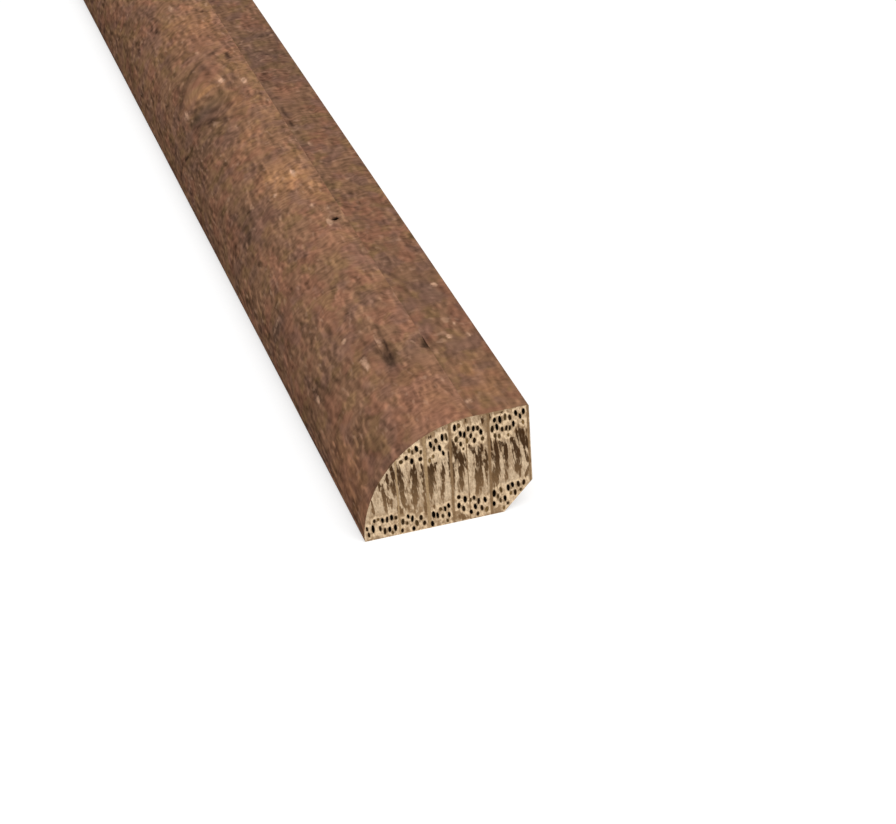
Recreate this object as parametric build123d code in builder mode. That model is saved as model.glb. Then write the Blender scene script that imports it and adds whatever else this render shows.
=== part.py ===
from build123d import *
import os

# Shoe moulding: one stick of solid hardwood trim, run through a moulder in one pass and cut square
# at both ends. It lies on the wide face that is nailed to the baseboard. X runs across the section,
# with the face that sits on the floor at +X. Y runs along the stick and Z is up.

# Driving dimensions, in millimetres
LENGTH = 1981.2  # a 78 inch stick
WIDTH = 19.05  # 3/4 inch, how far it reaches up the baseboard once it is fitted
THICKNESS = 12.7  # 1/2 inch, how far it then stands out from the baseboard
LAND_WIDTH = 6.2  # flat land between the floor face and the start of the round
RELIEF = 3.36  # 45 degree bevel that clears the corner between floor and baseboard

# Corners of the section, across (X) and up (Z), with the origin under the middle of its width
nose_foot = (-WIDTH / 2, 0)
heel = (WIDTH / 2, 0)
land_edge = (WIDTH / 2, THICKNESS)
land_start = (WIDTH / 2 - LAND_WIDTH, THICKNESS)

# The round is a quarter of an ellipse that is very nearly a circle.
round_centre = (WIDTH / 2 - LAND_WIDTH, 0)
round_reach = WIDTH - LAND_WIDTH

with BuildPart() as shoe_moulding:
    with BuildSketch(Plane.XZ) as section:
        with BuildLine():
            Polyline(nose_foot, heel, land_edge, land_start)
            # It leaves the land without a step and meets the wide face square at the foot of the nose.
            EllipticalCenterArc(round_centre, round_reach, THICKNESS, start_angle=90, arc_size=90)
        make_face()
        bottom_corners = section.vertices().group_by(Axis.Y)[0]
        chamfer(bottom_corners.sort_by(Axis.X)[-1], length=RELIEF)
    extrude(amount=LENGTH / 2, both=True)

shoe_moulding.part.label = "shoe_moulding"

os.makedirs("parts", exist_ok=True)
export_step(shoe_moulding.part, "parts/shoe_moulding.step")
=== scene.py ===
"""The looks of one stick of shoe moulding: stained hardwood with raw, open-pored ends."""
import math
import random
from collections import namedtuple
from functools import reduce

import bpy
import numpy as np
from mathutils import Matrix, Vector, noise
from mathutils.geometry import delaunay_2d_cdt
from mathutils.kdtree import KDTree


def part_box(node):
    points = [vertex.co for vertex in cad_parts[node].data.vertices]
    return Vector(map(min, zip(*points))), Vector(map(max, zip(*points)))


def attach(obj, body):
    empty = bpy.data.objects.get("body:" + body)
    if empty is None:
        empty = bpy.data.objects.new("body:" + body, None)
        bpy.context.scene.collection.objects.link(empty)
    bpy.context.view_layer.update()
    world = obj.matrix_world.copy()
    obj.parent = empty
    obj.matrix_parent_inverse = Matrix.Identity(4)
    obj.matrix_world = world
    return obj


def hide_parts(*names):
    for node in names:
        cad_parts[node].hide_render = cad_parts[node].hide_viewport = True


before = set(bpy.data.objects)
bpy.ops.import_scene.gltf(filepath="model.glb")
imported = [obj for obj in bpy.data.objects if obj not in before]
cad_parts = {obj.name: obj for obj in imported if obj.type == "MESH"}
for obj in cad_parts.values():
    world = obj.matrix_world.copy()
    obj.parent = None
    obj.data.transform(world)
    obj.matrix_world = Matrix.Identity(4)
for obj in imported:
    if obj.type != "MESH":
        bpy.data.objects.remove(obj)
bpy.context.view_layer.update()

# Lengths are in millimetres here, and the mesh is written in metres.
MM = 0.001
SEED = 12
rng = random.Random(SEED)

# Size of the stick, from the frame
low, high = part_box("shoe_moulding")
WIDTH = (high.x - low.x) / MM
THICKNESS = (high.z - low.z) / MM
LENGTH = (high.y - low.y) / MM

# The sizes of its section that the box doesn't give
LAND_WIDTH = 6.2
RELIEF = 3.36
ROUND_REACH = WIDTH - LAND_WIDTH
LAND_START = WIDTH / 2 - LAND_WIDTH
HOLD = 0.03  # gap that keeps the break between the round's finish and the land's sharp
EASE = 0.12  # how far the two outer arrises are eased
CURVE_STEPS = 2000  # for measuring along the round

# Spacing of the mesh
ROUND_GAP = 0.32
LAND_GAP = 0.38
RAW_GAP = 3.0
FINE_LENGTH = 180.0  # the stretch by the near end that has fine rows
NEAR_GAP = 0.36  # between the rows at the near end
FINE_GAP = 0.9  # where the fine rows stop
COARSE_GAP = 5.0
END_HOLD = 0.1  # the last row before an end, which keeps its arris sharp
HOLE_REACH = 0.8  # rows this near to a pinhole are closer
HOLE_GAP = 0.15
CAP_GAP = 0.22
CAP_STRAY = 0.07  # how far the points of an end lie out of line
CAP_EDGE = 0.12  # how far they keep from its edge
CAP_CLEAR = 0.04  # and from the rims of its pores
WELD = 1e-6  # points closer than this are one, and smaller differences don't count
SHARP_ANGLE = math.radians(35)  # edges that turn further are shaded as arrises

# Relief of the finish
LONG_WAVE = (5.0, 16.0)  # size of the larger waves, around and along
SHORT_WAVE = (1.8, 5.0)
SHORT_SHARE = 0.5  # height of the smaller waves beside the larger
WAVE_DEPTH = 0.03
HOLE_DEPTH = 0.45
HOLE_EDGE = 0.8  # share of a pinhole's half sizes that is at full depth
SPLIT_DEPTH = 0.16
SPLIT_EDGE = 0.9

# Material of each face of the stick, in the order of the mesh's material slots
ROUND, LAND, RAW, END, PORE = range(5)


def spaced(start, end, gap):
    """Even steps from start, up to but not at end, each at most gap."""
    steps = max(1, math.ceil(abs(end - start) / gap - WELD))
    return [start + (end - start) * i / steps for i in range(steps)]


def graded(start, end, first, last):
    """Steps from start, up to but not at end, that grow from first to last."""
    steps = round(math.log(last / first) * (end - start) / (last - first))
    growth = (last / first) ** (1 / steps)
    return [start + (end - start) * (growth ** i - 1) / (growth ** steps - 1) for i in range(steps)]


def round_point(turn):
    """A point of the round, at this angle up from the foot of the nose."""
    return ROUND_REACH * (1 - math.cos(turn)) - WIDTH / 2, THICKNESS * math.sin(turn)


def arris(x, z, angles):
    """Points on the eased arris about this centre, each with its distance from the first."""
    for angle in angles:
        a = math.radians(angle)
        yield x + EASE * math.cos(a), z + EASE * math.sin(a), EASE * math.radians(angles[0] - angle)


SectionPoint = namedtuple("SectionPoint", "x z around face")


def section_outline():
    """Points round the section, each with its distance from the nose's foot and the face it starts."""
    turns = np.linspace(0, math.pi / 2, CURVE_STEPS)
    curve = np.array([round_point(turn) for turn in turns])
    lengths = np.concatenate([[0], np.hypot(*np.diff(curve, axis=0).T).cumsum()])
    round_length = lengths[-1]
    points = []
    for x, z, step in arris(EASE - WIDTH / 2, EASE, (270, 240, 210)):
        points.append(SectionPoint(x, z, step - EASE, ROUND))
    for around in spaced(EASE, round_length, ROUND_GAP):
        points.append(SectionPoint(*round_point(np.interp(around, lengths, turns)), around, ROUND))
    edge = WIDTH / 2 - EASE
    for x in [LAND_START] + spaced(LAND_START + HOLD, edge, LAND_GAP):
        points.append(SectionPoint(x, THICKNESS, round_length + x - LAND_START, LAND))
    around = round_length + LAND_WIDTH - EASE
    for x, z, step in arris(edge, THICKNESS - EASE, (90, 60, 30)):
        points.append(SectionPoint(x, z, around + step, LAND))
    around = round_length + LAND_WIDTH
    for z in spaced(THICKNESS - EASE, RELIEF, RAW_GAP):
        points.append(SectionPoint(WIDTH / 2, z, around, RAW))
    for step in spaced(0, RELIEF, RAW_GAP):
        points.append(SectionPoint(WIDTH / 2 - step, RELIEF - step, around, RAW))
    for x in spaced(WIDTH / 2 - RELIEF, EASE - WIDTH / 2, RAW_GAP):
        points.append(SectionPoint(x, 0.0, around, RAW))
    return points, round_length


OUTLINE, ROUND_LENGTH = section_outline()
COLUMNS = len(OUTLINE)
FINISH_LENGTH = ROUND_LENGTH + LAND_WIDTH
SEAM = ROUND_LENGTH + HOLD / 2  # beyond it marks are on the land
FAR = 5.0  # nearness of a point that a mark doesn't reach

# A mark on the finish: its middle along and around the stick, its half sizes and its strength
Mark = namedtuple("Mark", "along around half_length half_width strength")

# Ranges for the marks beyond the fine rows
FURTHER_ALONG = (FINE_LENGTH + 10, LENGTH - 20)
FURTHER_AROUND = (3, FINISH_LENGTH - 2)
FURTHER_STRENGTH = (0.5, 1)


def further_marks(count, half_length, half_width):
    """Marks at random beyond the fine rows, with half sizes in these ranges."""
    ranges = (FURTHER_ALONG, FURTHER_AROUND, half_length, half_width, FURTHER_STRENGTH)
    return [Mark(*[rng.uniform(*limits) for limits in ranges]) for _ in range(count)]


TAN_PATCHES = [Mark(*row) for row in (
    (6.5, 3.4, 7, 2.8, 0.3), (6, 23.3, 7, 2.4, 0.35), (92.4, 15.8, 2.2, 2.4, 0.45),
    (66.5, 15.6, 5, 2.8, 0.72), (64, 18.6, 9, 1.4, 0.4), (81, 15, 4, 2.5, 0.4), (101, 13.1, 1.8, 3.3, 1),
    (85, 18.3, 5, 1.1, 0.25), (104, 18.3, 5, 1.1, 0.35), (124, 14.5, 6, 3, 0.5), (122, 18.3, 5, 1.1, 0.3),
)] + further_marks(26, (4, 9), (1.5, 3.5))
RED_PATCHES = [Mark(*row) for row in (
    (4, 16.5, 9, 4.2, 0.9), (7, 3.6, 8, 3, 1), (32, 19.2, 4, 1.2, 0.5), (46, 17.2, 3.5, 2, 0.5),
    (92, 22.3, 3, 1.6, 0.9), (117, 16.5, 6, 3, 0.7),
)] + further_marks(34, (4, 10), (1.5, 4))
SMUDGES = [Mark(*row) for row in (
    (15.4, 15.3, 2.6, 0.8, 0.9), (17.2, 18.9, 2.4, 1.1, 0.35), (16.6, 17.6, 2.4, 1.8, 0.4),
    (30, 24, 3, 1.5, 0.4), (41, 5.6, 1.8, 3.2, 0.6), (64, 8.5, 5, 2.2, 0.5), (96.1, 10.8, 1.9, 3.5, 1),
    (89, 8.5, 4.5, 4, 0.4), (60, 20.25, 7, 0.8, 0.3), (76, 20.25, 8, 0.8, 0.3), (92, 20.25, 6, 0.8, 0.35),
    (105, 23, 18, 6, 0.45), (105, 24.2, 1.6, 2.6, 0.4), (112.5, 24.2, 1.4, 2.6, 0.4),
)] + further_marks(44, (3, 8), (1.5, 4))
SPLITS = [Mark(*row) for row in (
    (17.2, 15.45, 2.3, 0.6, 1), (17.4, 19.95, 1.7, 0.85, 1),
)] + further_marks(12, (5, 9), (0.5, 0.9))
PINHOLES = [Mark(51.8, 18.8, 0.6, 0.42, 1.0)]
EYES = [Mark(100.5, 13.0, 10.4, 4.6, 1.0)] + further_marks(12, (10, 16), (3.5, 5.5))
PALE_FLECKS = [Mark(*row) for row in (
    (17.9, 12.9, 0.8, 0.35, 0.9), (19.4, 12.9, 0.6, 0.42, 1), (25.3, 12.1, 0.6, 0.35, 0.9),
    (22.5, 5.4, 0.8, 0.38, 0.9), (21, 15.45, 2.2, 0.26, 0.6), (3.2, 20.6, 0.6, 0.4, 0.7),
    (17.2, 25, 0.6, 0.35, 0.8), (17.6, 22.8, 0.6, 0.35, 0.9), (20.3, 24.4, 0.5, 0.3, 0.7),
    (30.1, 24.9, 0.6, 0.38, 1), (42, 5, 0.6, 1.6, 0.5), (51.2, 17.95, 1, 0.34, 1),
    (55, 18.8, 0.8, 0.35, 0.6), (56.9, 17.2, 0.6, 0.35, 0.7), (63.8, 13.8, 0.6, 0.35, 0.7),
    (65.6, 10.4, 0.9, 0.35, 0.6), (67, 17.3, 1.2, 0.32, 1), (74, 21.4, 0.9, 0.4, 0.5),
    (86.3, 14.1, 1, 0.3, 0.4), (91, 11.7, 0.9, 0.4, 0.6), (93.2, 6.2, 0.8, 0.4, 0.4),
    (98.2, 18.2, 1.1, 0.4, 0.9), (101.1, 15.6, 1.1, 0.6, 0.8), (100, 8.7, 1.6, 0.4, 0.7),
    (110.3, 7.1, 1, 0.4, 0.4), (113.2, 14.6, 1.1, 0.4, 0.5), (127.7, 19.5, 0.9, 0.4, 0.5),
    (131, 14.6, 1.5, 0.4, 0.6),
)]

# A fine dark line: its two ends, each along and around, its half width and its strength
Crack = namedtuple("Crack", "start end half_width strength")
CRACKS = [Crack(*row) for row in (
    ((16.6, 15.85), (20.6, 15.95), 0.16, 1), ((20.4, 15.95), (24.4, 16.05), 0.2, 0.5),
    ((18.6, 14.75), (23, 14.7), 0.25, 0.45), ((54.9, 17.7), (55.1, 16.8), 0.35, 0.7),
    ((72.9, 14.3), (73.6, 13.2), 0.35, 0.5), ((88.8, 16), (89.6, 13.7), 0.55, 0.5),
    ((89.6, 13.7), (92, 12.1), 0.42, 0.9), ((92, 12.1), (94.6, 9.4), 0.48, 0.8),
    ((92.1, 6), (94.1, 4), 0.45, 1), ((94.1, 4), (94.2, 1.6), 0.4, 0.9),
    ((107.2, 10.8), (103, 8.4), 0.42, 0.65), ((109.3, 13.2), (107.2, 10.8), 0.36, 0.85),
    ((110.6, 17), (109.3, 13.2), 0.46, 0.65), ((107, 18.2), (108.8, 18), 0.26, 1),
    ((80.2, 20.65), (88.2, 20.7), 0.2, 0.8), ((95.6, 21), (97.4, 21), 0.2, 0.7),
    ((112, 10), (122, 9.9), 0.4, 0.5), ((125.2, 18.6), (127.6, 17.4), 0.26, 0.7),
    ((127.4, 11), (128.7, 11), 0.35, 0.8),
)]
CRACK_FADE = 0.5  # how far past its ends a crack fades out
CRACK_REACH = 0.9  # and to its sides
PARTING = 0.55  # how far an eye or a pinhole spreads the grain that runs through it


def nearness(mark, around, along):
    """Distance from the mark's middle, in its half sizes, where it lies on the same face."""
    same_face = (around > SEAM) == (mark.around > SEAM)
    away = np.hypot((along - mark.along) / mark.half_length, (around - mark.around) / mark.half_width)
    return np.where(same_face, away, FAR)


def blurred(marks, around, along):
    """How strongly soft patches colour each point."""
    total = np.zeros_like(around)
    for mark in marks:
        total += mark.strength * np.exp(-nearness(mark, around, along) ** 2)
    return total.clip(0, 1)


def nearest(marks, around, along):
    """The smallest nearness of any of these marks."""
    best = np.full_like(around, FAR)
    for mark in marks:
        best = np.minimum(best, nearness(mark, around, along))
    return best


def cracked(around, along):
    """Distance to the side of the nearest crack, in its half widths, and how much of it shows."""
    offset = np.full_like(around, FAR)
    shown = np.zeros_like(around)
    for crack in CRACKS:
        run = np.subtract(crack.end, crack.start)
        length = math.hypot(*run)
        share = ((along - crack.start[0]) * run[0] + (around - crack.start[1]) * run[1]) / length ** 2
        side = ((along - crack.start[0]) * run[1] - (around - crack.start[1]) * run[0]) / length
        ends = np.clip(np.minimum(share, 1 - share) * length / CRACK_FADE + 1, 0, 1)
        amount = crack.strength * ends * np.exp(-(side / CRACK_REACH) ** 4)
        amount = np.where((around > SEAM) == (crack.start[1] > SEAM), amount, 0)
        offset = np.where(amount > shown, side / crack.half_width, offset)
        shown = np.maximum(shown, amount)
    return offset, shown


def flowing(around, along):
    """Distances around the stick with the grain parted by its eyes and pinholes."""
    parted = around.copy()
    for mark in EYES + PINHOLES:
        close = np.exp(-nearness(mark, around, along) ** 2 / 2)
        parted -= PARTING * (around - mark.around) * close
    return parted


def surface_waves(around, along):
    """Shallow waves that sanding leaves on the face, as depths below the true section."""
    waves = np.empty_like(around)
    for i, (s, w) in enumerate(zip(around, along)):
        large = noise.noise((s / LONG_WAVE[0], w / LONG_WAVE[1], 0))
        small = noise.noise((s / SHORT_WAVE[0], w / SHORT_WAVE[1], 3))
        waves[i] = large + SHORT_SHARE * small
    return WAVE_DEPTH * (waves.clip(-1, 1) - 1) / 2


# A flame of latewood on an end: how far across and how high its top and foot are, and its half width
Flame = namedtuple("Flame", "top_across top foot_across foot half_width")
FLAMES = [Flame(*row) for row in (
    (1.1, 4.9, 1.3, 3, 0.16), (2.15, 7, 2.75, 3.1, 0.24), (2.95, 7.7, 2.7, 6.7, 0.12),
    (3, 4.8, 3.3, 3.6, 0.26), (3.05, 8.1, 3.1, 5.8, 0.12), (3.55, 8.6, 3.75, 7.2, 0.2),
    (3.65, 7, 3.7, 5.1, 0.26), (4, 3.5, 4.25, 2.6, 0.28), (4.25, 8.4, 4.65, 4.4, 0.36),
    (4.5, 4.6, 4.9, 3, 0.3), (5.95, 7.7, 5.8, 3.2, 0.4), (6.85, 8.2, 7, 2, 0.18),
    (7.75, 3.4, 7.9, 2.4, 0.2), (7.9, 7.9, 7.75, 4, 0.46), (8.6, 8, 8, 7.3, 0.25),
    (9.35, 8.2, 8.85, 3, 0.2), (9.9, 8.8, 9.85, 5.6, 0.15), (10.55, 9.8, 11.3, 7.2, 0.6),
    (11.2, 7.6, 11.9, 6.3, 0.2), (10.35, 7.6, 10.3, 4.6, 0.14), (11.1, 6.8, 11, 3.8, 0.3),
    (12.25, 9.4, 12.8, 7.9, 0.26), (13.1, 8.3, 13.15, 4.3, 0.44), (13, 5, 12.7, 2.9, 0.3),
    (13.45, 8.8, 13.3, 7.4, 0.28), (13.95, 7.8, 14, 4.8, 0.2), (14.65, 9.5, 14.66, 7.3, 0.12),
    (14.62, 5.4, 14.75, 3.2, 0.18), (15.2, 8.8, 15.12, 4.1, 0.34), (15.6, 8.9, 16.3, 8, 0.28),
    (16.25, 8.5, 16.1, 6.8, 0.32), (16.3, 7.1, 16.1, 4, 0.18), (16.95, 9.1, 17.4, 7.5, 0.26),
    (17.4, 8.1, 17.5, 4.6, 0.4), (17.9, 10, 18.5, 7.5, 0.54), (18.4, 7, 18.75, 5.5, 0.22),
    (18.6, 4.9, 18.3, 3.9, 0.2), (10.9, 0.8, 11.1, 0.1, 0.45), (13.9, 12.4, 13.8, 11.5, 0.16),
    (11.2, 12.2, 11.2, 11.6, 0.18), (8, 11.4, 7.9, 10.9, 0.16), (9.55, 12.1, 9.5, 11.5, 0.13),
    (12.05, 12.5, 12, 11.8, 0.11), (14.75, 12.6, 14.7, 11.9, 0.14), (16.05, 12.6, 15.95, 12.2, 0.16),
)]
FLAME_BODY = 0.7  # share of a flame's length at its middle that doesn't fade
FLAME_FADE = 1.3  # how fast the rest fades
NO_FLAME = -2.0  # strength of a point far from any flame

# A ray on an end: how far across from the nose it is, its half width, its lean and how brown it is
Ray = namedtuple("Ray", "across half_width lean shade")
RAYS = [Ray(*row) for row in (
    (7.3, 0.17, 0, 0.3), (10.1, 0.13, 0.01, 0.9), (14.4, 0.15, 0.01, 1), (4, 0.09, 0, 0.1),
    (11.9, 0.05, 0, 1), (18.85, 0.08, 0, 0.9),
)]
CLEAR_RAYS = RAYS[:3]  # the wide ones, which no pore has its middle in

# A pore on an end: how far across from the nose and how high it is, its size, and how full it is
Oval = namedtuple("Oval", "across height width tall fill", defaults=[0.0])
OVALS = [Oval(*row) for row in (
    # Under the upper round
    (4.65, 8.92, 0.38, 0.42, 0.5), (5.25, 9.28, 0.34, 0.5, 0.2), (5.6, 10.12, 0.2, 0.46, 1),
    (5.85, 8.75, 0.32, 0.66), (5.97, 9.8, 0.18, 0.5, 0.5), (6.42, 10.15, 0.32, 0.72),
    (6.8, 8.8, 0.38, 0.44, 0.2), (6.9, 9.65, 0.22, 0.46, 0.5), (7.78, 8.4, 0.22, 0.5, 1),
    (8, 10.28, 0.28, 0.76), (8.2, 8.8, 0.2, 0.4, 1), (8.3, 9.75, 0.22, 0.6, 0.3),
    (8.62, 10.6, 0.3, 0.56, 0.3), (8.98, 9.68, 0.28, 0.72), (9.33, 8.92, 0.22, 0.56),
    (9.33, 10.87, 0.27, 0.82), (9.78, 10.85, 0.2, 0.9, 0.5),
    # Under the land
    (10.72, 11.72, 0.3, 0.76), (10.85, 10.3, 0.32, 0.66, 0.5), (11.2, 11.85, 0.28, 0.4, 1),
    (11.3, 9.62, 0.25, 0.5, 0.3), (11.35, 10.85, 0.28, 0.7), (11.57, 8.95, 0.14, 0.24, 0.6),
    (11.74, 10.63, 0.25, 0.76), (12.02, 9.85, 0.18, 0.6, 1), (12.2, 11.25, 0.28, 0.6, 0.3),
    (12.45, 10.37, 0.28, 0.56, 0.1), (12.78, 11.18, 0.28, 0.62), (12.85, 9.72, 0.3, 0.6, 0.1),
    (13.2, 11.12, 0.28, 0.56, 0.3), (13.56, 10.6, 0.3, 0.66), (13.73, 9.7, 0.3, 0.42, 0.5),
    (14.85, 10.6, 0.32, 0.76, 0.3), (15.15, 9.75, 0.25, 0.5, 0.5), (15.15, 11.68, 0.3, 0.52),
    (15.4, 10.75, 0.28, 0.8), (15.6, 9.6, 0.22, 0.5, 0.6), (15.78, 11.6, 0.32, 0.86),
    (15.95, 10.35, 0.25, 0.56, 0.1), (16.33, 11.8, 0.26, 0.76, 0.5), (16.36, 10.3, 0.25, 0.56, 0.1),
    (16.6, 9.5, 0.16, 0.32, 1), (16.78, 10.3, 0.22, 0.56, 0.3), (16.9, 11.6, 0.3, 0.66, 0.3),
    (17.22, 10.75, 0.25, 0.7), (17.57, 12, 0.28, 0.66), (18, 11.5, 0.22, 0.6), (18.3, 10.7, 0.2, 0.5, 1),
    (18.4, 12, 0.3, 0.66),
    # Above the underside, from the nose
    (0.24, 1.45, 0.2, 0.48, 0.2), (0.52, 0.75, 0.22, 0.56, 0.3), (1.03, 1.38, 0.28, 0.96),
    (1.22, 2.35, 0.25, 0.4, 0.3), (1.66, 2.46, 0.22, 0.28, 0.8), (1.82, 1.25, 0.22, 0.66, 0.2),
    (2.13, 2.25, 0.26, 0.56), (2.3, 0.82, 0.24, 0.78, 0.3), (2.62, 2.2, 0.24, 0.7, 0.2),
    (2.83, 0.92, 0.3, 0.62), (3.1, 0.45, 0.18, 0.4, 0.6), (3.15, 2.35, 0.3, 0.66),
    (3.47, 0.95, 0.3, 0.76), (3.6, 2.2, 0.28, 0.4, 0.4), (4.22, 0.42, 0.25, 0.44, 0.1),
    (4.35, 1.5, 0.3, 0.7, 0.4), (4.82, 1.2, 0.2, 0.36, 0.5), (4.97, 2.05, 0.22, 0.46),
    (5.4, 1.65, 0.26, 0.76), (5.5, 0.38, 0.3, 0.48), (5.9, 0.98, 0.34, 0.7, 0.5),
    (6.4, 1.52, 0.32, 0.6, 0.3), (6.74, 0.8, 0.3, 0.5, 0.2), (7.6, 0.46, 0.32, 0.66),
    (7.78, 1.55, 0.34, 0.8), (8.22, 1.35, 0.25, 0.66), (8.6, 2.05, 0.3, 0.4, 0.6),
    (8.82, 1.12, 0.22, 0.46, 0.4), (9.12, 2, 0.22, 0.6), (9.28, 0.45, 0.2, 0.36, 0.5),
    (9.5, 1.15, 0.26, 0.6), (9.52, 2.3, 0.25, 0.56), (10.65, 2, 0.32, 0.66),
    (10.7, 3.08, 0.34, 0.42, 0.2), (11.15, 1.5, 0.28, 0.66, 0.1), (11.38, 2.65, 0.34, 0.76),
    (11.97, 0.9, 0.3, 0.52), (12, 2.4, 0.2, 0.4, 0.6), (12.4, 2.6, 0.25, 0.5, 0.2),
    (12.5, 1.45, 0.3, 0.66), (12.72, 0.48, 0.25, 0.5, 0.2), (12.9, 2.05, 0.25, 0.74, 0.2),
    (13.2, 1.1, 0.24, 0.66, 0.2), (13.62, 2.05, 0.28, 0.66), (13.75, 0.8, 0.34, 0.6, 1),
    # Above the bevel
    (14.66, 2.6, 0.34, 0.86), (14.58, 1.3, 0.3, 0.56), (15.08, 2.1, 0.2, 0.56, 0.5),
    (15.35, 1.55, 0.22, 0.56, 0.5), (15.45, 2.85, 0.25, 0.7, 0.6), (15.68, 0.55, 0.18, 0.42, 0.8),
    (15.88, 1.68, 0.28, 0.66), (16.15, 1, 0.22, 0.32, 0.4), (16.28, 2.95, 0.3, 0.76),
    (16.55, 2.2, 0.2, 0.42, 1), (16.75, 3.22, 0.28, 0.62), (17.05, 2.18, 0.25, 0.7, 0.1),
    (17.42, 3.15, 0.28, 0.7, 0.1), (17.7, 2.36, 0.24, 0.34, 0.6), (18.05, 3.22, 0.28, 0.62, 0.2),
)]
PORE_SIDES = 10
PORE_TRIES = 6  # places tried for a pore before it is left out
RIM = 0.03  # width of the ring of mesh round a pore
RIM_GAP = 0.015  # between the rims of two pores
RIM_EDGE = RIM_GAP + 0.04  # from a rim to the edge of the end
PORE_GROWTH = (0.035, 0.05)  # added to the half width and half height of each oval
PORE_TILT = (-0.12, 0.18)  # range of a pore's lean, in radians
NEAR_STRAY = 0.02  # how far the near end's pores lie from the ovals
FAR_STRAY = 0.15  # and the far end's
WALL = 0.34  # how far from a pore its pale wall fades
PIT_RINGS = [(0.10, -0.02), (0.38, -0.05)]  # depth of each ring down an open pore, and its growth
PLUG_RINGS = [(0.03, -0.01)]  # the same for a pore that is filled
PIT_CENTRE = 1.15  # depth of a pore's middle beside its last ring
FULL_PLUG = 1.0  # mark of a plug that fills its pore
# Plugs with marks towards this one are painted darker, as shade.
EMPTY_PLUG = 1.5  # and of one sunk out of sight

Pore = namedtuple("Pore", "x z half_width half_height tilt fill")


def inside_section(x, z, margin):
    """Whether a point of the end lies in the section, at least margin from its edge."""
    if z < margin or z > THICKNESS - margin or x > WIDTH / 2 - margin:
        return False
    if (WIDTH / 2 - x) + z < RELIEF + margin * math.sqrt(2):
        return False
    if x >= LAND_START:
        return True
    return math.hypot((LAND_START - x) / (ROUND_REACH - margin), z / (THICKNESS - margin)) < 1


def in_pore(pore, x, z, grow):
    """Whether a point of the end lies in the pore grown by this distance."""
    dx = x - pore.x
    dz = z - pore.z
    side = dx * math.cos(pore.tilt) + dz * math.sin(pore.tilt)
    rise = dz * math.cos(pore.tilt) - dx * math.sin(pore.tilt)
    return math.hypot(side / (pore.half_width + grow), rise / (pore.half_height + grow)) < 1


def pore_ring(pore, grow):
    """The pore's outline, grown by this distance."""
    ring = []
    for i in range(PORE_SIDES):
        a = 2 * math.pi * i / PORE_SIDES
        side = (pore.half_width + grow) * math.cos(a)
        rise = (pore.half_height + grow) * math.sin(a)
        ring.append((pore.x + side * math.cos(pore.tilt) - rise * math.sin(pore.tilt),
                     pore.z + side * math.sin(pore.tilt) + rise * math.cos(pore.tilt)))
    return ring


def touching(first, second):
    """Whether the rims of two pores meet."""
    return any(in_pore(b, *spot, RIM + RIM_GAP) for a, b in ((first, second), (second, first))
               for spot in pore_ring(a, RIM))


def pore_fits(pore, pores):
    """Whether a pore lies within the end, off the wide rays and clear of the pores before it."""
    across = pore.x + WIDTH / 2
    near_ray = any(abs(across - ray.across) < ray.half_width for ray in CLEAR_RAYS)
    inside = all(inside_section(*spot, RIM_EDGE) for spot in pore_ring(pore, RIM))
    return inside and not near_ray and not any(touching(pore, other) for other in pores)


def scatter_pores(chance, stray):
    """The pores of an end, each a little out of place, and further out where it would meet another."""
    pores = []
    for oval in OVALS:
        tilt = chance.uniform(*PORE_TILT)
        half_width = oval.width / 2 + PORE_GROWTH[0]
        half_height = oval.tall / 2 + PORE_GROWTH[1]
        for attempt in range(1, PORE_TRIES + 1):
            x = oval.across - WIDTH / 2 + attempt * stray * chance.uniform(-1, 1)
            z = oval.height + attempt * stray * chance.uniform(-1, 1)
            pore = Pore(x, z, half_width, half_height, tilt, oval.fill)
            if pore_fits(pore, pores):
                pores.append(pore)
                break
    return pores


def flame_strength(x, z):
    """How deep in a flame a point of the end lies: 1 in its middle, 0 at its edge."""
    across = x + WIDTH / 2
    best = NO_FLAME
    for flame in FLAMES:
        share = (z - flame.foot) / (flame.top - flame.foot)
        middle = flame.foot_across + share * (flame.top_across - flame.foot_across)
        side = abs(across - middle) / flame.half_width
        past_ends = max(0.0, abs(2 * share - 1) - FLAME_BODY)
        best = max(best, 1 - side - FLAME_FADE * past_ends)
    return best


def cap_plane(chance, pores):
    """Flat points of an end, the edges its triangles keep, and the first point of each pore's mouth."""
    flat = [(p.x, p.z) for p in OUTLINE]
    edges = [(i, (i + 1) % COLUMNS) for i in range(COLUMNS)]
    mouths = []
    for pore in pores:
        for grow in (RIM, 0.0):
            first = len(flat)
            flat += pore_ring(pore, grow)
            edges += [(first + i, first + (i + 1) % PORE_SIDES) for i in range(PORE_SIDES)]
        mouths.append(first)
    for z in spaced(0, THICKNESS, CAP_GAP):
        for x in spaced(-WIDTH / 2, WIDTH / 2, CAP_GAP):
            spot = (x + chance.uniform(-CAP_STRAY, CAP_STRAY), z + chance.uniform(-CAP_STRAY, CAP_STRAY))
            clear = not any(in_pore(pore, *spot, RIM + CAP_CLEAR) for pore in pores)
            if clear and inside_section(*spot, CAP_EDGE):
                flat.append(spot)
    return flat, edges, mouths


def cap_triangles(flat, edges, mouths):
    """Triangles between the flat points of an end, apart from those that would close a pore."""
    pore_of = {first + i: first for first in mouths for i in range(PORE_SIDES)}
    found = delaunay_2d_cdt([Vector(p) for p in flat], edges, [], 1, WELD)
    origin = [ids[0] for ids in found[3]]
    triangles = []
    for face in found[2]:
        corners = tuple(origin[i] for i in face)
        owners = {pore_of.get(i) for i in corners}
        if owners == {None} or len(owners) > 1:
            triangles.append(corners)
    return triangles


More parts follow.
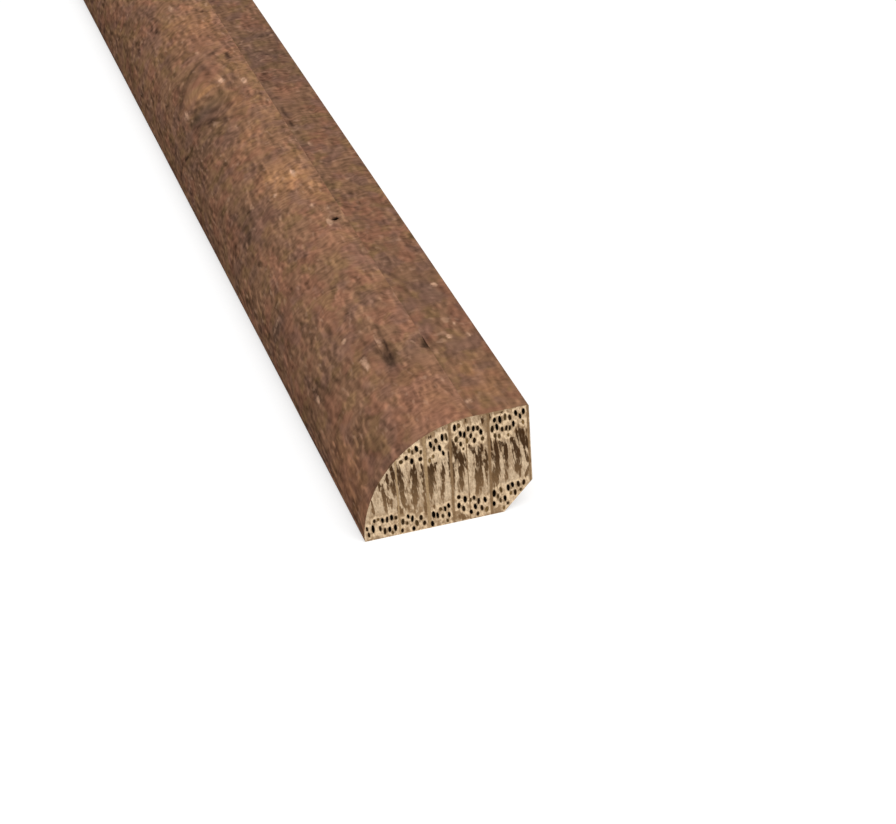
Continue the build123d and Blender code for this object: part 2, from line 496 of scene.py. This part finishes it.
def sink_pores(pores, mouths, points):
    """Adds the pores' pits to the points, and gives their faces and the marks of their plugs."""
    pits = []
    plugs = {}
    for pore, first in zip(pores, mouths):
        last = [first + i for i in range(PORE_SIDES)]
        rings = PLUG_RINGS if pore.fill else PIT_RINGS
        for depth, grow in rings:
            ring = [len(points) + i for i in range(PORE_SIDES)]
            points += [(x, z, depth) for x, z in pore_ring(pore, grow)]
            for i in range(PORE_SIDES):
                j = (i + 1) % PORE_SIDES
                pits.append(((last[i], last[j], ring[j], ring[i]), pore.fill))
            last = ring
        centre = len(points)
        points.append((pore.x, pore.z, rings[-1][0] * PIT_CENTRE))
        for i in range(PORE_SIDES):
            pits.append(((last[i], last[(i + 1) % PORE_SIDES], centre), pore.fill))
        if pore.fill:
            mark = EMPTY_PLUG + pore.fill * (FULL_PLUG - EMPTY_PLUG)
            plugs.update({i: mark for i in last + [centre]})
    return pits, plugs


def end_cap(chance, stray):
    """An end: its points, its flat triangles, the faces of its pores and the marks of its points."""
    pores = scatter_pores(chance, stray)
    flat, edges, mouths = cap_plane(chance, pores)
    points = [(x, z, 0.0) for x, z in flat]
    pits, plugs = sink_pores(pores, mouths, points)
    return points, cap_triangles(flat, edges, mouths), pits, end_marks(points, pores, plugs)


def end_marks(points, pores, plugs):
    """For each point of an end: how deep in latewood it is, how near to a pore, and its plug's mark."""
    rims = [spot for pore in pores for spot in pore_ring(pore, 0.0)]
    tree = KDTree(len(rims))
    for i, (x, z) in enumerate(rims):
        tree.insert((x, z, 0), i)
    tree.balance()
    marks = []
    for i, (x, z, _) in enumerate(points):
        gap = tree.find((x, z, 0))[2]
        marks.append((flame_strength(x, z), math.exp(-(gap / WALL) ** 2), plugs.get(i, 0.0)))
    return marks


# The bake's map lays the stick out in strips, one above the other, with its two ends above them.
MAP_GAP = 3 / 1024  # between strips
FAR_STRIPS = 5  # strips for the stretch beyond the fine rows
RAW_SHARE = 0.4  # how fine the raw faces are on it beside the finish
FOLDS = [0.0, *spaced(FINE_LENGTH, LENGTH, (LENGTH - FINE_LENGTH) / FAR_STRIPS), LENGTH]
Strip = namedtuple("Strip", "start scale finish_foot raw_foot")


def face_spans():
    """Where each face round the section starts and ends, along the finish or the raw wood."""
    spans = []
    run = 0.0
    for point, following in zip(OUTLINE, OUTLINE[1:] + OUTLINE[:1]):
        if point.face == RAW and OUTLINE[len(spans) - 1].face != RAW:
            run = 0.0
        end = run + math.hypot(following.x - point.x, following.z - point.z)
        spans.append((run, end))
        run = end
    return spans


SPANS = face_spans()


def map_strips():
    """The strips of the map, and the height that the ends start at."""
    finish = max(end for (_, end), point in zip(SPANS, OUTLINE) if point.face != RAW)
    raw = max(end for (_, end), point in zip(SPANS, OUTLINE) if point.face == RAW)
    strips = []
    foot = MAP_GAP
    for start, end in zip(FOLDS, FOLDS[1:]):
        scale = (1 - 2 * MAP_GAP) / (end - start)
        raw_foot = foot + finish * scale + MAP_GAP
        strips.append(Strip(start, scale, foot, raw_foot))
        foot = raw_foot + raw * scale * RAW_SHARE + MAP_GAP
    return strips, foot


STRIPS, END_FOOT = map_strips()
END_SCALE = (1 - END_FOOT - MAP_GAP) / THICKNESS


def skin_map(rows):
    """Places on the map of the skin's faces, corner by corner."""
    places = []
    for near, far in zip(rows, rows[1:]):
        strip = [s for s in STRIPS if s.start < near + WELD][-1]
        left = MAP_GAP + (near - strip.start) * strip.scale
        right = MAP_GAP + (far - strip.start) * strip.scale
        for point, span in zip(OUTLINE, SPANS):
            raw = point.face == RAW
            foot = strip.raw_foot if raw else strip.finish_foot
            rise = strip.scale * (RAW_SHARE if raw else 1.0)
            bottom = foot + span[0] * rise
            top = foot + span[1] * rise
            places += [(left, bottom), (left, top), (right, top), (right, bottom)]
    return places


def end_map(points, end):
    """Places on the map of the points of an end."""
    left = MAP_GAP if end < 0 else WIDTH * END_SCALE + 3 * MAP_GAP
    return [(left + (x + WIDTH / 2) * END_SCALE, END_FOOT + z * END_SCALE) for x, _, z in points]


def row_places():
    """Distances of the mesh's rows from the near end, closer where it is seen close up."""
    rows = [END_HOLD, LENGTH - END_HOLD, LENGTH]
    rows += graded(0.0, FINE_LENGTH, NEAR_GAP, FINE_GAP)
    for start, end in zip(FOLDS[1:], FOLDS[2:]):
        rows += spaced(start, end, COARSE_GAP)
    for hole in PINHOLES:
        rows = [row for row in rows if abs(row - hole.along) > HOLE_REACH]
        rows += spaced(hole.along - HOLE_REACH, hole.along + HOLE_REACH, HOLE_GAP)
    return np.array(sorted(rows))


def outward(face, points, end):
    """The face with its corners in the order that makes it look out of this end."""
    a, b, c = (points[i] for i in face[:3])
    out = (b[2] - a[2]) * (c[0] - a[0]) - (b[0] - a[0]) * (c[2] - a[2])
    return tuple(face) if out * end > 0 else tuple(reversed(face))


def skin_points(rows):
    """Points of the skin, row by row, and the values that the finish reads at each."""
    section = np.array([(p.x, p.z) for p in OUTLINE])
    ahead = np.roll(section, -1, axis=0) - np.roll(section, 1, axis=0)
    normals = np.stack([-ahead[:, 1], ahead[:, 0]], 1) / np.hypot(*ahead.T)[:, None]
    around = np.tile([p.around for p in OUTLINE], len(rows))
    along = np.repeat(rows, COLUMNS)
    finished = np.tile([p.face != RAW for p in OUTLINE], len(rows))
    holes = nearest(PINHOLES, around, along)
    splits = nearest(SPLITS, around, along)
    depth = surface_waves(around, along)
    depth -= HOLE_DEPTH * np.exp(-(holes / HOLE_EDGE) ** 4)
    depth -= SPLIT_DEPTH * np.exp(-(splits / SPLIT_EDGE) ** 4)
    at_end = np.minimum(along, LENGTH - along) < END_HOLD / 2
    depth[at_end | ~finished] = 0
    flat = np.tile(section, (len(rows), 1)) + depth[:, None] * np.tile(normals, (len(rows), 1))
    points = np.stack([flat[:, 0], along - LENGTH / 2, flat[:, 1]], 1)
    values = {
        "grain": np.stack([flowing(around, along), along, np.zeros_like(along)], 1),
        "figure": np.stack([nearest(EYES, around, along), splits, holes], 1),
        "stain": np.stack([blurred(m, around, along) for m in (TAN_PATCHES, SMUDGES, RED_PATCHES)], 1),
        "line": np.stack([*cracked(around, along), blurred(PALE_FLECKS, around, along)], 1),
        "end_mark": np.zeros_like(points),
    }
    return points, values


def skin_faces(row_count):
    """Faces between the rows of the skin, and the material slot of each."""
    faces = []
    slots = []
    for i in range(row_count - 1):
        for j, point in enumerate(OUTLINE):
            k = (j + 1) % COLUMNS
            faces.append((i * COLUMNS + j, i * COLUMNS + k, (i + 1) * COLUMNS + k, (i + 1) * COLUMNS + j))
            slots.append(point.face)
    return faces, slots


def add_object(name, data):
    """A new object of the scene that holds this mesh, lamp or camera."""
    thing = bpy.data.objects.new(name, data)
    bpy.context.scene.collection.objects.link(thing)
    return thing


def stick_object(points, values, faces, slots, map_places):
    """The stick as an object of the scene, in metres."""
    mesh = bpy.data.meshes.new("shoe_moulding_stick")
    mesh.from_pydata((points * MM).tolist(), [], faces)
    mesh.polygons.foreach_set("material_index", slots)
    mesh.polygons.foreach_set("use_smooth", [True] * len(faces))
    for name, vectors in values.items():
        mesh.attributes.new(name, "FLOAT_VECTOR", "POINT").data.foreach_set("vector", vectors.ravel())
    mesh.uv_layers.new(name="OFBake").data.foreach_set("uv", np.array(map_places).ravel())
    mesh.set_sharp_from_angle(angle=SHARP_ANGLE)
    return add_object("shoe_moulding_stick", mesh)


def build_stick():
    """One closed mesh: the skin in rows along the stick, and its two ends with their pores."""
    rows = row_places()
    points, values = skin_points(rows)
    faces, slots = skin_faces(len(rows))
    map_places = skin_map(rows)
    for end, row, stray in ((-1, 0, NEAR_STRAY), (1, len(rows) - 1, FAR_STRAY)):
        cap, triangles, pits, marks = end_cap(random.Random(SEED + end), stray)
        first = len(points)
        index = [row * COLUMNS + i if i < COLUMNS else first + i - COLUMNS for i in range(len(cap))]
        added = np.array([(x, end * (LENGTH / 2 - depth), z) for x, z, depth in cap[COLUMNS:]])
        points = np.concatenate([points, added])
        for name in values:
            values[name] = np.concatenate([values[name], np.zeros_like(added)])
        values["end_mark"][index] = marks
        cap_faces = [(face, END) for face in triangles]
        # Open pits take the pore material, which is painted near-black as shade. Filled ones take the
        # end's material.
        cap_faces += [(face, END if fill else PORE) for face, fill in pits]
        for face, slot in cap_faces:
            face = outward([index[i] for i in face], points, end)
            faces.append(face)
            slots.append(slot)
            map_places += end_map(points[list(face)], end)
    return stick_object(points, values, faces, slots, map_places)


def colour(red, green, blue):
    """An sRGB colour, 0 to 255, as the linear colour that sockets take."""
    parts = [c / 255 for c in (red, green, blue)]
    return (*[p / 12.92 if p <= 0.04045 else ((p + 0.055) / 1.055) ** 2.4 for p in parts], 1.0)


SEED_STEPS = (17.3, 31.7, 5.9)  # how far apart the noises of two seeds lie


class Shader:
    """Short ways to add and join the nodes of one material or world."""

    def __init__(self, owner, seed=0):
        owner.use_nodes = True
        self.owner = owner
        self.seed = seed  # added to the number of each noise
        self.here = None  # where noise is read
        self.tree = owner.node_tree
        self.tree.nodes.clear()

    def add(self, kind, inputs=None, **settings):
        """A new node of this kind, with its inputs fed."""
        node = self.tree.nodes.new(kind)
        for name, value in settings.items():
            setattr(node, name, value)
        for name, value in (inputs or {}).items():
            self.feed(node.inputs[name], value)
        return node

    def feed(self, socket, value):
        """Links the socket to another node's, or sets its value."""
        if isinstance(value, bpy.types.NodeSocket):
            self.tree.links.new(value, socket)
        else:
            socket.default_value = value

    def maths(self, operation, *values):
        """The result of one sum."""
        node = self.add("ShaderNodeMath", operation=operation)
        for socket, value in zip(node.inputs, values):
            self.feed(socket, value)
        return node.outputs[0]

    def total(self, *values):
        """The sum of these values."""
        return reduce(lambda first, second: self.maths("ADD", first, second), values)

    def product(self, *values):
        """These values multiplied."""
        return reduce(lambda first, second: self.maths("MULTIPLY", first, second), values)

    def parts(self, vector):
        """The three parts of a vector."""
        return self.add("ShaderNodeSeparateXYZ", {"Vector": vector}).outputs

    def vector(self, x=0.0, y=0.0, z=0.0):
        """A vector from its parts."""
        return self.add("ShaderNodeCombineXYZ", {"X": x, "Y": y, "Z": z}).outputs[0]

    def attribute(self, name):
        """A vector that the mesh keeps at its points."""
        return self.add("ShaderNodeAttribute", attribute_name=name).outputs["Vector"]

    def place(self):
        """The place on the object, in millimetres."""
        return self.scaled(self.add("ShaderNodeTexCoord").outputs["Object"], 1 / MM)

    def noise(self, size, number, detail=2.0, roughness=0.5, shift=0.0, place=None):
        """Noise with lumps of about this size in millimetres, moved by shift around the stick."""
        scale = self.add("ShaderNodeVectorMath", operation="MULTIPLY_ADD")
        self.feed(scale.inputs[0], place or self.here)
        self.feed(scale.inputs[1], tuple(1 / s for s in size))
        across, along, through = ((self.seed + number) * step for step in SEED_STEPS)
        self.feed(scale.inputs[2], (across + shift / size[0], along, through))
        node = self.add("ShaderNodeTexNoise", {
            "Vector": scale.outputs[0], "Scale": 1.0, "Detail": detail, "Roughness": roughness})
        return node.outputs["Fac"]

    def between(self, value, start, end, to_start=0.0, to_end=1.0):
        """value taken smoothly from its range start to end onto another."""
        node = self.add("ShaderNodeMapRange", {
            "Value": value, "From Min": start, "From Max": end, "To Min": to_start, "To Max": to_end},
            interpolation_type="SMOOTHSTEP")
        return node.outputs["Result"]

    def mix(self, amount, first, second):
        """first, with this amount of second over it."""
        node = self.add("ShaderNodeMix", data_type="RGBA")
        self.feed(node.inputs[0], amount)
        self.feed(node.inputs[6], first)
        self.feed(node.inputs[7], second)
        return node.outputs[2]

    def scaled(self, vector, amount):
        """A vector or colour times a number."""
        node = self.add("ShaderNodeVectorMath", operation="SCALE")
        self.feed(node.inputs[0], vector)
        self.feed(node.inputs["Scale"], amount)
        return node.outputs[0]

    def surface(self, base, roughness, height, depth, strength=0.4):
        """The material, with a dull surface of this relief, as the wood shows no highlights."""
        bump = self.add("ShaderNodeBump", {"Height": height, "Distance": depth * MM, "Strength": strength})
        shader = self.add("ShaderNodeBsdfPrincipled", {
            "Base Color": base, "Roughness": roughness, "Normal": bump.outputs["Normal"],
            "Specular IOR Level": 0.0})
        self.add("ShaderNodeOutputMaterial", {"Surface": shader.outputs[0]})
        return self.owner


def stain_hues(sh, brown, patchy):
    """The stain's brown, with patches of other hues a few millimetres across."""
    tan, _, red = sh.parts(sh.attribute("stain"))
    base = brown
    for number, size, start, tint in (
        (1, (3.2, 5, 1), 0.46, (1.18, 0.99, 1.04)),
        (2, (2.2, 3.4, 1), 0.48, (0.97, 1.06, 0.86)),
        (3, (2.6, 3.8, 1), 0.48, (0.87, 0.88, 1.08)),
    ):
        patch = sh.between(sh.noise(size, number), start, start + 0.17, 0, patchy)
        base = sh.mix(patch, base, (*[part * by for part, by in zip(brown, tint)], 1.0))
    base = sh.mix(sh.product(red, 0.7), base, colour(163, 114, 88))
    blotchy = sh.between(sh.noise((1.8, 2.6, 1), 13), 0.3, 0.65, 0.1, 1.0)
    whole = sh.between(tan, 0.65, 1.0, 0, 0.7)
    tan = sh.maths("MAXIMUM", sh.product(tan, blotchy), whole)
    return sh.mix(tan, base, colour(186, 136, 94))


def fine_lines(sh, eye, reach):
    """Fine wavy lines of this length across the stick, which turn into arcs inside an eye."""
    sway = sh.between(sh.noise((2.2, 3.4, 1), 16, detail=1), 0.2, 0.8, -0.6, 0.6)
    wavy = sh.add("ShaderNodeVectorMath", operation="ADD")
    sh.feed(wavy.inputs[0], sh.here)
    sh.feed(wavy.inputs[1], sh.vector(y=sway))
    lines = sh.noise((reach, 0.46, 1), 14, detail=1, place=wavy.outputs[0])
    along = sh.parts(sh.here)[1]
    turns = sh.vector(eye, sh.product(along, 0.3))
    arcs = sh.noise((0.11, 1, 1), 15, detail=1, place=turns)
    inside = sh.between(eye, 0.85, 1.25, 1, 0)
    return sh.maths("MULTIPLY_ADD", inside, sh.maths("SUBTRACT", arcs, lines), lines)


def ragged_edge(sh):
    """Small shifts that make the edge of a mark ragged."""
    return sh.between(sh.noise((0.7, 1.2, 1), 11), 0.2, 0.8, -0.22, 0.22)


def stain_marks(sh, base):
    """base with smudges, pale marks, the edges of eyes and cracks, and how deep the cracks are."""
    eye = sh.parts(sh.attribute("figure"))[0]
    smudge = sh.parts(sh.attribute("stain"))[1]
    crack, crack_shown, pale_mark = sh.parts(sh.attribute("line"))
    ragged = ragged_edge(sh)
    broken = sh.between(sh.noise((1.0, 1.6, 1), 12), 0.35, 0.6, 0.3, 1.0)
    base = sh.mix(sh.product(smudge, 0.7), base, colour(86, 69, 61))
    frayed = sh.between(sh.noise((0.45, 0.8, 1), 18, detail=1), 0.3, 0.6, 0.68, 1.3)
    pale_mark = sh.between(sh.product(pale_mark, frayed), 0.15, 0.8, 0, 0.95)
    base = sh.mix(pale_mark, base, colour(202, 160, 132))
    edge = sh.maths("ABSOLUTE", sh.total(eye, ragged, -1.0))
    edge = sh.product(sh.between(edge, 0.0, 0.2, 0.3, 0), broken)
    base = sh.mix(edge, base, colour(74, 53, 42))
    meander = sh.between(sh.noise((2.2, 2.8, 1), 17), 0.3, 0.7, -0.5, 0.5)
    crack = sh.maths("ABSOLUTE", sh.total(crack, meander, ragged))
    crack = sh.product(sh.between(crack, 0.0, 2.2, 0.9, 0), crack_shown, broken)
    return sh.mix(crack, base, colour(62, 45, 36)), crack


def stain_holes(sh, base):
    """base with its splits and pinholes painted dark as the shade inside them. The pinholes have a pale
    ring.
    """
    _, split, hole = sh.parts(sh.attribute("figure"))
    ragged = ragged_edge(sh)
    split = sh.between(sh.total(split, ragged), 0.0, 1.5, 0.88, 0)
    # Painted shade inside the splits.
    base = sh.mix(split, base, colour(46, 33, 27))
    hole = sh.maths("MULTIPLY_ADD", ragged, 1.5, hole)
    ring = sh.maths("ABSOLUTE", sh.maths("SUBTRACT", hole, 2.1))
    base = sh.mix(sh.between(ring, 0.0, 0.8, 0.25, 0), base, colour(190, 150, 118))
    # Painted shade down the pinholes, near-black at their middles.
    return sh.mix(sh.between(hole, 0.5, 1.25, 1.0, 0), base, colour(22, 14, 9))


def stained_finish(name, brown, seed, weaves, reach, fleck, patchy, pale_size, paleness):
    """Brown stain over figured wood: patches of hue, fine lines across it, and raised fleck marks along it
    in painted highlight and shade.
    """
    sh = Shader(bpy.data.materials.new(name), seed)
    sh.here = sh.attribute("grain")
    around, along, _ = sh.parts(sh.here)
    eye = sh.parts(sh.attribute("figure"))[0]
    base = stain_hues(sh, brown, patchy)
    base, crack = stain_marks(sh, base)

    # Raised fleck marks in crowds, each with a painted highlight on one side and painted shade on the
    # other
    crowd = sh.between(sh.noise((3, 4.5, 1), 7), 0.38, 0.62, 0.3, 1.0)
    deeper = sh.between(around, 4, 15, 1.3, 0.8)
    speck = {"size": (0.74, 1.4, 1), "number": 8, "detail": 0.4}
    embossed_fleck_shade = sh.maths("SUBTRACT", sh.noise(**speck), sh.noise(**speck, shift=0.28))
    sparse = sh.between(sh.maths("ABSOLUTE", embossed_fleck_shade), 0.02, 0.11, 0.15, 1.0)
    strength = sh.between(along, 40, 90, fleck, fleck * 0.82)
    embossed_fleck_shade = sh.maths("MAXIMUM", sh.product(embossed_fleck_shade, sparse, crowd, deeper, strength), -0.16)

    # Lumps, bars, lines and streaks
    lumps = sh.noise((1.1, 2.8, 1), 4, detail=1)
    bars = sh.noise((6, 1.2, 1), 5, detail=1)
    lines = fine_lines(sh, eye, reach)
    weave = sh.product(sh.between(along, 20, 60, *weaves), sh.between(around, 8, 14, 0.9, 1.6))
    streaks = sh.noise((0.7, 9, 1), 6, detail=1)
    light = sh.total(
        sh.between(lumps, 0.2, 0.8, -0.22, 0.22), sh.between(bars, 0.25, 0.75, -0.08, 0.08),
        sh.product(sh.between(lines, 0.25, 0.75, -1.0, 1.0), weave),
        sh.between(streaks, 0.25, 0.75, -0.1, 0.1))
    # The fleck marks' painted highlight and shade brighten and darken the colour here.
    base = sh.scaled(base, sh.total(sh.maths("MULTIPLY_ADD", light, deeper, 1.0), embossed_fleck_shade))

    # Pale flecks and dark pores
    pale = sh.noise(pale_size, 9, detail=0.5)
    pale = sh.product(sh.between(pale, 0.6, 0.82, 0, paleness), crowd, deeper)
    base = sh.mix(pale, base, colour(200, 158, 131))
    dark = sh.noise((0.6, 1.6, 1), 10, detail=0.5)
    dark = sh.product(sh.between(dark, 0.64, 0.84, 0, 0.4), crowd)
    base = sh.mix(dark, base, colour(80, 57, 43))

    height = sh.maths("SUBTRACT", sh.total(embossed_fleck_shade, lumps, pale), sh.total(dark, crack))
    return sh.surface(stain_holes(sh, base), 0.6, height, 0.035)


def raw_wood():
    """Planed bare hardwood, on the faces that are hidden once the stick is nailed up."""
    sh = Shader(bpy.data.materials.new("raw_wood"))
    sh.here = sh.place()
    bands = sh.noise((2.2, 160, 1.6), 21)
    lines = sh.noise((0.2, 9, 0.2), 22)
    pores = sh.noise((0.16, 2.6, 0.16), 23, detail=1)
    base = sh.mix(sh.between(bands, 0.35, 0.65), colour(206, 178, 138), colour(170, 138, 100))
    base = sh.scaled(base, sh.between(lines, 0.25, 0.75, 0.84, 1.12))
    dark = sh.between(pores, 0.62, 0.74, 0, 0.7)
    base = sh.mix(dark, base, colour(104, 80, 54))
    height = sh.maths("SUBTRACT", sh.product(lines, 0.6), dark)
    return sh.surface(base, 0.72, height, 0.08)


def end_flames(sh, base, depth, z):
    """base with flames of latewood, darkest at their tops and with pale spots, and their strength."""
    spots = sh.between(sh.noise((0.4, 9, 0.8), 33, detail=1), 0.58, 0.76, 0.0, 0.6)
    burning = sh.between(depth, -0.44, 0.4, 0, 0.97)
    burning = sh.product(burning, sh.maths("SUBTRACT", 1.0, spots))
    deep = sh.product(sh.between(depth, -0.3, 0.4), sh.between(z, 3.0, 8.0, 0.3, 1.0))
    return sh.mix(burning, base, sh.mix(deep, colour(150, 117, 82), colour(70, 46, 25))), burning


def end_rays(sh, base, x, z):
    """base with the rays over it, each with darker edges."""
    lightest = colour(200, 168, 126)
    darkest = colour(145, 114, 81)
    for ray in RAYS:
        middle = sh.maths("MULTIPLY_ADD", z, ray.lean, ray.across - WIDTH / 2 - ray.lean * THICKNESS / 2)
        side = sh.maths("ABSOLUTE", sh.maths("SUBTRACT", x, middle))
        edge = sh.between(side, ray.half_width, ray.half_width * 1.7, 0.6, 0)
        base = sh.mix(edge, base, colour(138, 108, 77))
        body = sh.between(side, ray.half_width * 0.6, ray.half_width * 1.2, 0.85, 0)
        brown = [start + ray.shade * (end - start) for start, end in zip(lightest, darkest)]
        base = sh.mix(body, base, brown)
    return base


def end_grain():
    """Sawn end: pale wood with walls round its pores, brown flames of latewood, and rays."""
    sh = Shader(bpy.data.materials.new("end_grain"))
    sh.here = sh.place()
    x, y, z = sh.parts(sh.here)
    flame, wall, plug_mark = sh.parts(sh.attribute("end_mark"))

    # The saw drags the fibres a little aslant.
    slant = sh.vector(sh.maths("MULTIPLY_ADD", z, 0.12, x), y, z)
    hatch = sh.noise((0.24, 9, 0.6), 32, roughness=0.6, place=slant)
    tone = sh.between(hatch, 0.3, 0.7, -1.0, 1.0)
    band = sh.between(sh.noise((0.42, 9, 3.4), 31, roughness=0.55), 0.3, 0.7, -1.0, 1.0)
    shade = sh.total(sh.product(tone, 0.55), sh.product(band, 0.55))
    base = sh.mix(sh.between(shade, -1.0, 1.0), colour(232, 205, 171), colour(184, 155, 123))

    # The wood among the pores is tan, with pale walls round them and brown rims.
    pore_bands = sh.total(sh.between(z, 2.4, 3.8, 1, 0), sh.between(z, 8.4, 9.8))
    tan = sh.between(sh.noise((0.45, 9, 0.7), 35, detail=1), 0.36, 0.6, 0.15, 1.0)
    base = sh.mix(sh.product(tan, pore_bands), base, colour(165, 134, 101))
    pale = sh.between(sh.maths("MULTIPLY_ADD", tan, -0.4, wall), -0.2, 0.5)
    pale = sh.product(pale, sh.between(tone, -0.5, 0.7, 1.0, 0.4), sh.between(z, 2.0, 9.0, 0.85, 1.0))
    base = sh.mix(pale, base, colour(255, 224, 184))
    base = sh.mix(sh.between(wall, 0.88, 1.0, 0, 0.55), base, colour(112, 84, 55))

    fray = sh.between(sh.noise((0.2, 9, 1.3), 36, detail=1, place=slant), 0.3, 0.7, -0.42, 0.42)
    depth = sh.total(flame, fray, sh.product(tone, 0.14), sh.product(band, 0.16))
    depth = sh.maths("MULTIPLY_ADD", wall, -0.4, depth)
    base, burning = end_flames(sh, base, depth, z)
    base = end_rays(sh, base, x, z)
    speckle = sh.noise((0.16, 9, 0.24), 34, detail=1)
    base = sh.scaled(base, sh.between(speckle, 0.25, 0.75, 0.88, 1.1))

    # A plug is painted darker the further it is sunk, as painted shade, though its pit is no deeper.
    plug = sh.mix(sh.between(plug_mark, FULL_PLUG, 1.4), colour(140, 110, 68), colour(44, 30, 17))
    plug = sh.scaled(plug, sh.between(hatch, 0.3, 0.7, 0.6, 1.15))
    base = sh.mix(sh.between(plug_mark, 0.2, 0.9), base, plug)
    return sh.surface(base, 0.8, sh.maths("SUBTRACT", tone, burning), 0.05)


def pore_wall_painted_shade():
    """The inside of an open pore, painted near-black as the shade down it."""
    sh = Shader(bpy.data.materials.new("pore_wall_painted_shade"))
    sh.here = sh.place()
    base = sh.mix(sh.noise((0.2, 0.2, 0.2), 41), colour(14, 10, 7), colour(44, 32, 20))
    return sh.surface(base, 0.9, sh.noise((0.1, 0.1, 0.1), 42), 0.1)


# The set: lengths are in metres here, and each grey and strength is a share of white
FLOOR_HALF = 30.0
FLOOR_GREY = (0.5, 0.5, 0.5, 1)
FLOOR_GLOW = 0.55  # what makes the floor show white
SURROUND_LIGHT = 0.32  # how strongly the surround lights the object
LAMP_ENERGY = 2.6
LAMP_WIDTH = math.radians(50)
LAMP_SIDE = Vector((0.2, -0.5, 0.84))  # where it shines from


def ray_seen(sh):
    """1 for what the camera, a mirror or a pane of glass sees, and 0 for light on the object."""
    path = sh.add("ShaderNodeLightPath").outputs
    seen = sh.maths("MAXIMUM", path["Is Camera Ray"], path["Is Glossy Ray"])
    return sh.maths("MAXIMUM", seen, path["Is Transmission Ray"])


def make_floor():
    """A wide pale floor that shows white and keeps a soft shadow."""
    mesh = bpy.data.meshes.new("floor")
    corners = [(-1, -1), (1, -1), (1, 1), (-1, 1)]
    mesh.from_pydata([(x * FLOOR_HALF, y * FLOOR_HALF, low.z) for x, y in corners], [], [(0, 1, 2, 3)])
    material = bpy.data.materials.new("floor")
    sh = Shader(material)
    matt = sh.add("ShaderNodeBsdfDiffuse", {"Color": FLOOR_GREY})
    glow = sh.add("ShaderNodeEmission", {"Strength": sh.product(ray_seen(sh), FLOOR_GLOW)})
    both = sh.add("ShaderNodeAddShader")
    sh.feed(both.inputs[0], matt.outputs[0])
    sh.feed(both.inputs[1], glow.outputs[0])
    sh.add("ShaderNodeOutputMaterial", {"Surface": both.outputs[0]})
    mesh.materials.append(material)
    floor = add_object("floor", mesh)


def light_scene():
    """Soft light from above and in front, and a white surround."""
    scene = bpy.context.scene
    scene.view_settings.view_transform = "Standard"
    scene.world = scene.world or bpy.data.worlds.new("world")
    sh = Shader(scene.world)
    strength = sh.between(ray_seen(sh), 0, 1, SURROUND_LIGHT, 1.0)
    backdrop = sh.add("ShaderNodeBackground", {"Color": (1, 1, 1, 1), "Strength": strength})
    sh.add("ShaderNodeOutputWorld", {"Surface": backdrop.outputs[0]})
    lamp = bpy.data.lights.new("key", "SUN")
    lamp.energy = LAMP_ENERGY
    lamp.angle = LAMP_WIDTH
    key = add_object("key", lamp)
    key.rotation_euler = LAMP_SIDE.to_track_quat("Z", "Y").to_euler()


# The camera, from the near corner at the foot of the nose
CAMERA_OFFSET = Vector((-50.78, -225.44, 151.60)) * MM
CAMERA_TURN = math.radians(-15.125)
CAMERA_DROP = math.radians(30.540)
CAMERA_ROLL = math.radians(-3.911)
CAMERA_LENS = 103.81
SENSOR_WIDTH = 36.0
CLIP_START = 0.01


def make_camera():
    """The photo's view of the near end."""
    data = bpy.data.cameras.new("camera")
    data.lens = CAMERA_LENS
    data.sensor_width = SENSOR_WIDTH
    data.sensor_fit = "HORIZONTAL"
    data.clip_start = CLIP_START
    camera = add_object("camera", data)
    turn = Matrix.Rotation(CAMERA_TURN, 4, "Z") @ Matrix.Rotation(math.pi / 2 - CAMERA_DROP, 4, "X")
    place = Matrix.Translation(Vector((low.x, low.y, low.z)) + CAMERA_OFFSET)
    camera.matrix_world = place @ turn @ Matrix.Rotation(CAMERA_ROLL, 4, "Z")
    bpy.context.scene.camera = camera


stick = build_stick()
materials = [
    stained_finish(
        "stained_round", colour(141, 105, 81), seed=1, weaves=(0.12, 0.16), reach=1.05,
        fleck=2.5, patchy=0.6, pale_size=(0.6, 1.6, 1), paleness=0.5),
    stained_finish(
        "stained_land", colour(128, 95, 73), seed=5, weaves=(0.06, 0.16), reach=1.9,
        fleck=2.2, patchy=0.7, pale_size=(0.9, 1.0, 1), paleness=0.4),
    raw_wood(),
    end_grain(),
    pore_wall_painted_shade(),
]
for material in materials:
    stick.data.materials.append(material)
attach(stick, "root")
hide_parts("shoe_moulding")
make_floor()
light_scene()
make_camera()
